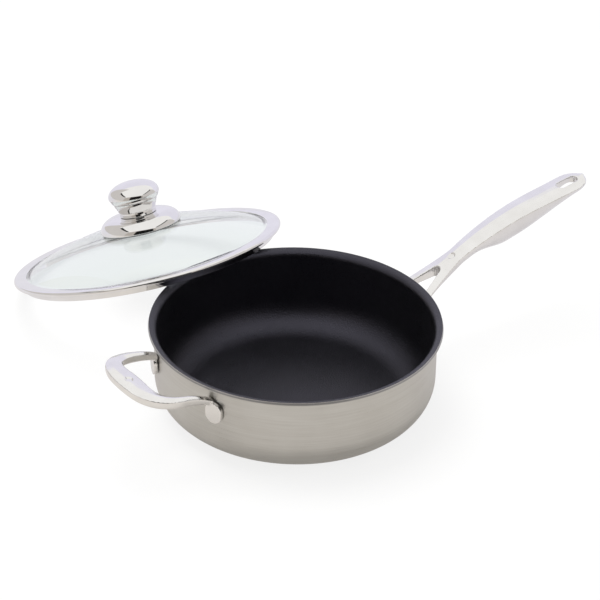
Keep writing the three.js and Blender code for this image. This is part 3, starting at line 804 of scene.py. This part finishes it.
# Tilt at which the skirt rests on the rim while its low edge stands on the table
def lean_tilt():
    ring = SKIRT_RADIUS - SKIRT_THICKNESS
    low, high = 0, math.pi / 4
    for _ in range(LEAN_STEPS):
        tilt = (low + high) / 2
        centre_out = LEAN_REACH - SKIRT_RADIUS * math.cos(tilt)
        square = -((ring * math.sin(tilt)) ** 2)
        linear = 2 * centre_out * ring * math.cos(tilt)
        constant = centre_out ** 2 + ring ** 2 - RIM_TOP_RADIUS ** 2
        root = linear ** 2 - 4 * square * constant
        crossing = (-linear + math.sqrt(max(root, 0))) / (2 * square)
        clearance = SKIRT_RADIUS * math.sin(tilt) - ring * crossing * math.sin(tilt) - PAN_HEIGHT
        if clearance < SEAT_GAP:
            low = tilt
        else:
            high = tilt
    return high


# Where the leaning lid's own frame lies in the part's
def lid_place():
    tilt = lean_tilt()
    out = LEAN_REACH - SKIRT_RADIUS * math.cos(tilt) + SKIRT_DEPTH * math.sin(tilt)
    rise = SKIRT_RADIUS * math.sin(tilt) + SKIRT_DEPTH * math.cos(tilt)
    move = Matrix.Translation((out * MM, 0, rise * MM))
    return Matrix.Rotation(LEAN_SIDE, 4, "Z") @ move @ Matrix.Rotation(tilt, 4, "Y")


# Materials

class Look:
    """A node material under construction, with short ways to add nodes."""

    def __init__(self, name):
        self.material = bpy.data.materials.new(name)
        self.material.use_nodes = True
        self.tree = self.material.node_tree
        self.shader = self.tree.nodes["Principled BSDF"]

    def node(self, kind, **settings):
        node = self.tree.nodes.new("ShaderNode" + kind)
        for key, value in settings.items():
            setattr(node, key, value)
        return node

    def link(self, source, target):
        self.tree.links.new(source, target)

    def set(self, **values):
        for key, value in values.items():
            self.shader.inputs[key.replace("_", " ")].default_value = value

    def math(self, operation, a, b):
        node = self.node("Math", operation=operation)
        for socket, value in zip(node.inputs, (a, b)):
            if isinstance(value, (int, float)):
                socket.default_value = value
            else:
                self.link(value, socket)
        return node.outputs[0]

    def place(self):
        return self.node("TexCoord").outputs["Object"]

    # Place in the piece stretched by a scale for each axis
    def stretched(self, scale):
        mapping = self.node("Mapping")
        mapping.inputs["Scale"].default_value = scale
        self.link(self.place(), mapping.inputs["Vector"])
        return mapping.outputs[0]

    # Place on a turned piece: slow round the axis, fast along the profile
    def round_lines(self, slow, fast):
        axes = self.node("SeparateXYZ")
        self.link(self.place(), axes.inputs[0])
        profile = self.node("SeparateXYZ")
        self.link(self.node("UVMap", uv_map="turned").outputs[0], profile.inputs[0])
        joined = self.node("CombineXYZ")
        self.link(self.math("MULTIPLY", axes.outputs[0], slow), joined.inputs[0])
        self.link(self.math("MULTIPLY", axes.outputs[1], slow), joined.inputs[1])
        self.link(self.math("MULTIPLY", profile.outputs[1], fast), joined.inputs[2])
        return joined.outputs[0]

    def noise(self, vector, scale, detail, roughness):
        node = self.node("TexNoise")
        node.inputs["Scale"].default_value = scale
        node.inputs["Detail"].default_value = detail
        node.inputs["Roughness"].default_value = roughness
        self.link(vector, node.inputs["Vector"])
        return node.outputs["Fac"]

    # Value mapped from one range to another
    def between(self, value, low, high, from_low=0.3, from_high=0.7):
        node = self.node("MapRange")
        for socket, number in zip(node.inputs[1:5], (from_low, from_high, low, high)):
            socket.default_value = number
        self.link(value, node.inputs[0])
        return node.outputs[0]

    # Colour between two, by a factor
    def tint(self, factor, low, high):
        node = self.node("Mix", data_type="RGBA")
        node.inputs[6].default_value = (*low, 1)
        node.inputs[7].default_value = (*high, 1)
        self.link(factor, node.inputs[0])
        return node.outputs[2]

    def bump(self, height, strength, distance):
        node = self.node("Bump")
        node.inputs["Strength"].default_value = strength
        node.inputs["Distance"].default_value = distance
        self.link(height, node.inputs["Height"])
        self.link(node.outputs[0], self.shader.inputs["Normal"])

    # Weighted sum of two values
    def blend(self, a, share_a, b, share_b):
        return self.math("ADD", self.math("MULTIPLY", a, share_a), self.math("MULTIPLY", b, share_b))

    def colour(self, socket):
        self.link(socket, self.shader.inputs["Base Color"])

    def rough(self, socket):
        self.link(socket, self.shader.inputs["Roughness"])


def brushed_steel(name, dark, light, rough_low, rough_high, anisotropy):
    look = Look(name)
    coarse = look.noise(look.round_lines(slow=9, fast=420), scale=1, detail=5, roughness=0.65)
    fine = look.noise(look.round_lines(slow=30, fast=2600), scale=1, detail=3, roughness=0.7)
    cloud = look.noise(look.place(), scale=22, detail=3, roughness=0.5)
    lines = look.blend(coarse, 0.5, fine, 0.5)
    mixed = look.blend(lines, 0.7, cloud, 0.3)
    look.colour(look.tint(look.between(mixed, 0, 1, from_low=0.36, from_high=0.64), dark, light))
    look.rough(look.between(mixed, rough_low, rough_high, from_low=0.36, from_high=0.64))
    look.bump(lines, strength=0.12, distance=0.0002)
    look.set(Metallic=1, Anisotropic=anisotropy)
    tangent = look.node("Tangent", direction_type="RADIAL", axis="Z")
    look.link(tangent.outputs[0], look.shader.inputs["Tangent"])
    return look.material


def polished_steel(name, dark, light, rough_low, rough_high):
    look = Look(name)
    cloud = look.noise(look.place(), scale=45, detail=4, roughness=0.6)
    grain = look.noise(look.stretched((260, 1500, 1500)), scale=1, detail=3, roughness=0.7)
    mixed = look.blend(cloud, 0.65, grain, 0.35)
    look.colour(look.tint(look.between(cloud, 0, 1), dark, light))
    look.rough(look.between(mixed, rough_low, rough_high, from_low=0.35, from_high=0.65))
    look.bump(grain, strength=0.03, distance=0.0001)
    look.set(Metallic=1)
    return look.material


def nonstick_coat():
    look = Look("nonstick_coat")
    speckle = look.noise(look.place(), scale=800, detail=3, roughness=0.7)
    cloud = look.noise(look.place(), scale=30, detail=3, roughness=0.5)
    fleck = look.node("TexVoronoi")
    fleck.inputs["Scale"].default_value = 700
    look.link(look.place(), fleck.inputs["Vector"])
    mixed = look.blend(speckle, 0.7, cloud, 0.3)
    shown = look.between(mixed, 0, 1, from_low=0.35, from_high=0.65)
    look.colour(look.tint(shown, (0.0035, 0.0035, 0.004), (0.0085, 0.0085, 0.0095)))
    look.rough(look.between(mixed, 0.26, 0.42, from_low=0.35, from_high=0.65))
    height = look.math("ADD", speckle, look.math("MULTIPLY", fleck.outputs["Distance"], 0.4))
    look.bump(height, strength=0.5, distance=0.0005)
    look.set(Metallic=0, IOR=1.68, Specular_Tint=(0.8, 0.78, 1, 1))
    return look.material


def clear_glass():
    look = Look("clear_lid_glass")
    wave = look.noise(look.place(), scale=28, detail=2, roughness=0.5)
    smear = look.noise(look.place(), scale=9, detail=4, roughness=0.6)
    look.colour(look.tint(look.between(smear, 0, 1), (0.965, 0.985, 0.98), (0.98, 0.995, 0.99)))
    look.rough(look.between(smear, 0, 0.025, from_low=0.4, from_high=0.75))
    look.bump(wave, strength=0.02, distance=0.0004)
    look.set(Transmission_Weight=1, IOR=1.5)
    return look.material


def silicone():
    look = Look("grey_silicone")
    grain = look.noise(look.place(), scale=1800, detail=3, roughness=0.6)
    cloud = look.noise(look.place(), scale=60, detail=3, roughness=0.5)
    look.colour(look.tint(look.between(cloud, 0, 1), (0.24, 0.245, 0.25), (0.32, 0.325, 0.33)))
    look.rough(look.between(grain, 0.5, 0.7))
    look.bump(grain, strength=0.1, distance=0.0002)
    return look.material


def weld_steel():
    look = Look("weld_bead")
    ripple = look.noise(look.place(), scale=900, detail=4, roughness=0.7)
    heat = look.noise(look.place(), scale=220, detail=3, roughness=0.5)
    look.colour(look.tint(look.between(heat, 0, 1), (0.3, 0.26, 0.22), (0.5, 0.49, 0.48)))
    look.rough(look.between(ripple, 0.4, 0.75))
    look.bump(ripple, strength=0.4, distance=0.0005)
    look.set(Metallic=1)
    return look.material


OUTER_LOOK = brushed_steel(
    "brushed_outer_steel", dark=(0.525, 0.514, 0.492), light=(0.65, 0.648, 0.63),
    rough_low=0.26, rough_high=0.38, anisotropy=0.6)
EDGE_LOOK = brushed_steel(
    "bright_inner_steel", dark=(0.6, 0.59, 0.58), light=(0.75, 0.74, 0.73),
    rough_low=0.2, rough_high=0.35, anisotropy=0.3)
CORE_LOOK = brushed_steel(
    "aluminium_layer", dark=(0.3, 0.3, 0.31), light=(0.42, 0.42, 0.43),
    rough_low=0.35, rough_high=0.5, anisotropy=0.2)
POLISH_LOOK = polished_steel(
    "polished_cast_steel", dark=(0.8, 0.79, 0.78), light=(0.87, 0.865, 0.86),
    rough_low=0.1, rough_high=0.2)
MIRROR_LOOK = polished_steel(
    "mirror_steel", dark=(0.8, 0.79, 0.785), light=(0.86, 0.855, 0.85),
    rough_low=0.03, rough_high=0.08)
COAT_LOOK = nonstick_coat()
GLASS_LOOK = clear_glass()
SILICONE_LOOK = silicone()
WELD_LOOK = weld_steel()


# The pieces on their bodies

def dress(obj, look, body, node):
    obj.data.materials.clear()
    obj.data.materials.append(look)
    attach(obj, body)
    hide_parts(node)


# The clad sheet's layers, each from the depth where the one outside it ends
sheet_layers = [
    ("pan_outer_skin", OUTER_SHELL, OUTER_LOOK, "pan_outer_shell", "outer_steel"),
    ("pan_core", ALUMINIUM_CORE, CORE_LOOK, "pan_aluminium_core", "aluminium_layer"),
    ("pan_inner_skin", INNER_SHELL, EDGE_LOOK, "pan_inner_shell", "inner_steel"),
    ("pan_coating", COATING, COAT_LOOK, "nonstick_coating", "nonstick"),
]
depth = 0
for name, thickness, look, node, slot in sheet_layers:
    dress(sheet_layer(name, depth, thickness), look, "pan", node)
    depth += thickness

dress(long_handle(), POLISH_LOOK, "pan", "long_handle")
dress(helper_handle(), POLISH_LOOK, "pan", "helper_handle")

# The welds keep their CAD solids and only get a look
for handle in ("long_handle", "helper_handle"):
    for side in ("left", "right"):
        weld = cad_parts[f"{handle}_weld_{side}"]
        weld.data.materials.clear()
        weld.data.materials.append(WELD_LOOK)

# The clear glass throws no shadow, and dims no light that falls through it
glass = lid_glass()
glass.visible_shadow = False
glass.visible_diffuse = False
sleeve = ring_body("knob_insert_sleeve", SCREW_RADIUS + SEAT_GAP, INSERT_RADIUS,
                   INSERT_BOTTOM, INSERT_BOTTOM + INSERT_HEIGHT, SLEEVE_EDGE)
washer = ring_body("screw_washer_ring", SCREW_HOLE, WASHER_RADIUS,
                   WASHER_TOP - WASHER_THICKNESS, WASHER_TOP, WASHER_EDGE)
lid_pieces = [
    (glass, GLASS_LOOK, "lid_glass", "lid_glass"),
    (lid_band(), MIRROR_LOOK, "lid_band", "polished_steel"),
    (base_gasket(), SILICONE_LOOK, "base_gasket", "silicone"),
    (knob_base(), MIRROR_LOOK, "knob_base", "polished_steel"),
    (knob_neck(), MIRROR_LOOK, "knob_neck", "polished_steel"),
    (sleeve, EDGE_LOOK, "knob_insert", "inner_steel"),
    (knob_cap(), MIRROR_LOOK, "knob_cap", "polished_steel"),
    (glass_grommet(), SILICONE_LOOK, "glass_grommet", "silicone"),
    (washer, EDGE_LOOK, "screw_washer", "inner_steel"),
    (knob_screw(), EDGE_LOOK, "knob_screw", "inner_steel"),
]
leaning = lid_place()
for obj, look, node, slot in lid_pieces:
    obj.matrix_world = leaning
    dress(obj, look, "lid", node)


# Floor, light and camera

# White paper that shows a faint shadow where it is seen. In reflections it shows as a dimmer white with a
# painted lavender cast behind the object, and through the glass with a painted pale green-grey tint.
def floor_look():
    look = Look("white_floor")
    grain = look.noise(look.place(), scale=3, detail=3, roughness=0.5)
    look.colour(look.tint(look.between(grain, 0, 1), PAPER_DARK, PAPER_LIGHT))
    look.set(Roughness=0.9, Specular_IOR_Level=0)
    facing = look.node("Mapping")
    facing.inputs["Rotation"].default_value = (0, 0, VIEW_TURN)
    look.link(look.place(), facing.inputs["Vector"])
    axes = look.node("SeparateXYZ")
    look.link(facing.outputs[0], axes.inputs[0])
    # Mask of the painted lavender cast behind the object, which only reflections show
    painted_cast_behind = look.between(axes.outputs[1], 0, 1, from_low=BEHIND_START, from_high=BEHIND_FULL)
    path = look.node("LightPath")
    surface = look.shader.outputs[0]
    rays = [
        ("Is Glossy Ray", REFLECTED_SHADE, REFLECTED_GLOW),
        # Seen through the glass, the floor gets a painted pale green-grey tint
        ("Is Transmission Ray", GLASS_SHADE, GLASS_GLOW),
        ("Is Camera Ray", FLOOR_SHADE, FLOOR_GLOW),
    ]
    for ray, shade_colour, glow_colour in rays:
        paper = look.node("BsdfDiffuse")
        paper.inputs["Color"].default_value = (*shade_colour, 1)
        glow = look.node("Emission")
        glow.inputs["Color"].default_value = (*glow_colour, 1)
        if ray == "Is Glossy Ray":
            look.link(look.tint(painted_cast_behind, shade_colour, BEHIND_SHADE), paper.inputs["Color"])
            look.link(look.tint(painted_cast_behind, glow_colour, BEHIND_GLOW), glow.inputs["Color"])
        lit = look.node("AddShader")
        look.link(paper.outputs[0], lit.inputs[0])
        look.link(glow.outputs[0], lit.inputs[1])
        choice = look.node("MixShader")
        look.link(path.outputs[ray], choice.inputs[0])
        look.link(surface, choice.inputs[1])
        look.link(lit.outputs[0], choice.inputs[2])
        surface = choice.outputs[0]
    look.link(surface, look.tree.nodes["Material Output"].inputs["Surface"])
    return look.material


floor_corners = [(FLOOR_HALF * x, FLOOR_HALF * y, 0) for x, y in ((-1, -1), (1, -1), (1, 1), (-1, 1))]
floor = add_object("floor", floor_corners, [[0, 1, 2, 3]])
floor.location.z = -FLOOR_DROP
floor.data.materials.append(floor_look())

# Camera and light, placed in the photograph's frame and turned into the part's
turn = Matrix.Rotation(-VIEW_TURN, 4, "Z")
right = Vector((1, 0, 0))
back = Vector((0, -math.cos(VIEW_ELEVATION), math.sin(VIEW_ELEVATION)))
up = back.cross(right)
camera_right = right * math.cos(VIEW_ROLL) + up * math.sin(VIEW_ROLL)
camera_up = up * math.cos(VIEW_ROLL) - right * math.sin(VIEW_ROLL)
eye = (back * VIEW_DISTANCE + camera_right * VIEW_ACROSS + camera_up * VIEW_UP) * RIM_UNIT * MM
axes = Matrix((camera_right, camera_up, back)).transposed().to_4x4()
camera_data = bpy.data.cameras.new("camera")
camera_data.lens = LENS
camera_data.sensor_width = SENSOR
camera_data.sensor_fit = "HORIZONTAL"
camera_data.clip_end = VIEW_CLIP
camera = bpy.data.objects.new("camera", camera_data)
bpy.context.scene.collection.objects.link(camera)
camera.matrix_world = turn @ Matrix.Translation(eye) @ axes
bpy.context.scene.camera = camera


def area_light(name, place, aim, size, power, colour):
    data = bpy.data.lights.new(name, "AREA")
    data.shape = "RECTANGLE"
    data.size, data.size_y = size
    data.energy = power
    data.color = colour
    obj = bpy.data.objects.new(name, data)
    bpy.context.scene.collection.objects.link(obj)
    facing = (Vector(aim) - Vector(place)).to_track_quat("-Z", "Y")
    obj.matrix_world = turn @ Matrix.Translation(place) @ facing.to_matrix().to_4x4()
    return obj


key = area_light("key", KEY_PLACE, (0, 0, 0), KEY_SIZE, KEY_POWER, KEY_COLOUR)
key.visible_glossy = False


# Light tent round the object, which only reflections show
def card(name, corners, colour):
    look = Look(name)
    glow = look.node("Emission")
    glow.inputs["Color"].default_value = (*colour, 1)
    look.link(glow.outputs[0], look.tree.nodes["Material Output"].inputs["Surface"])
    obj = add_object(name, corners, [[0, 1, 2, 3]])
    obj.data.materials.append(look.material)
    obj.matrix_world = turn
    obj.visible_camera = False
    obj.visible_diffuse = False
    obj.visible_transmission = False
    obj.visible_shadow = False


def standing(x0, x1, y, z0, z1):
    return [(x0, y, z0), (x1, y, z0), (x1, y, z1), (x0, y, z1)]


def beside(x, y0, y1, z0, z1):
    return [(x, y0, z0), (x, y1, z0), (x, y1, z1), (x, y0, z1)]


def overhead(x0, x1, y0, y1, z):
    return [(x0, y0, z), (x1, y0, z), (x1, y1, z), (x0, y1, z)]


left_slit = overhead(TENT_LEFT, TENT_LEFT + SLIT_WIDTH, SLIT_NEAR, SLIT_FAR, TENT_TOP)
right_slit = overhead(TENT_RIGHT - SLIT_WIDTH, TENT_RIGHT, SLIT_NEAR, SLIT_FAR, TENT_TOP)
opening = standing(OPENING_LEFT, OPENING_RIGHT, OPENING_NEAR, OPENING_BOTTOM, OPENING_TOP)
card("tent_back", standing(BACK_LEFT, BACK_RIGHT, TENT_FAR, 0, BACK_TOP), LAVENDER)
card("tent_corner", standing(TENT_LEFT, BACK_LEFT, TENT_FAR, 0, TENT_TOP), WARM_GREY)
card("tent_left", beside(TENT_LEFT, TENT_NEAR, TENT_FAR, 0, TENT_TOP), WARM_GREY)
card("tent_right", beside(TENT_RIGHT, TENT_NEAR, TENT_FAR, 0, TENT_TOP), WARM_GREY)
card("tent_slit_left", left_slit, TENT_BLACK)
card("tent_slit_right", right_slit, TENT_BLACK)
card("tent_front", standing(TENT_LEFT, TENT_RIGHT, TENT_NEAR, 0, TENT_TOP), BEIGE)
card("tent_opening", opening, TENT_BLACK)


# World: white where it is seen, a warmer white in reflections, and a softer sky for the light it sheds
def make_world():
    world = bpy.data.worlds.new("studio")
    world.use_nodes = True
    bpy.context.scene.world = world
    tree = world.node_tree
    tree.nodes.clear()
    path = tree.nodes.new("ShaderNodeLightPath")
    soft = tree.nodes.new("ShaderNodeBackground")
    soft.inputs["Color"].default_value = (*PLAIN_WHITE, 1)
    soft.inputs["Strength"].default_value = SKY_LIGHT
    surface = soft.outputs[0]
    rays = [
        ("Is Glossy Ray", PANEL_WHITE),
        ("Is Transmission Ray", PLAIN_WHITE),
        ("Is Camera Ray", PLAIN_WHITE),
    ]
    for ray, colour in rays:
        shown = tree.nodes.new("ShaderNodeBackground")
        shown.inputs["Color"].default_value = (*colour, 1)
        mix = tree.nodes.new("ShaderNodeMixShader")
        tree.links.new(path.outputs[ray], mix.inputs[0])
        tree.links.new(surface, mix.inputs[1])
        tree.links.new(shown.outputs[0], mix.inputs[2])
        surface = mix.outputs[0]
    output = tree.nodes.new("ShaderNodeOutputWorld")
    tree.links.new(surface, output.inputs["Surface"])


make_world()
bpy.context.scene.view_settings.view_transform = "Standard"

bpy.context.view_layer.update()
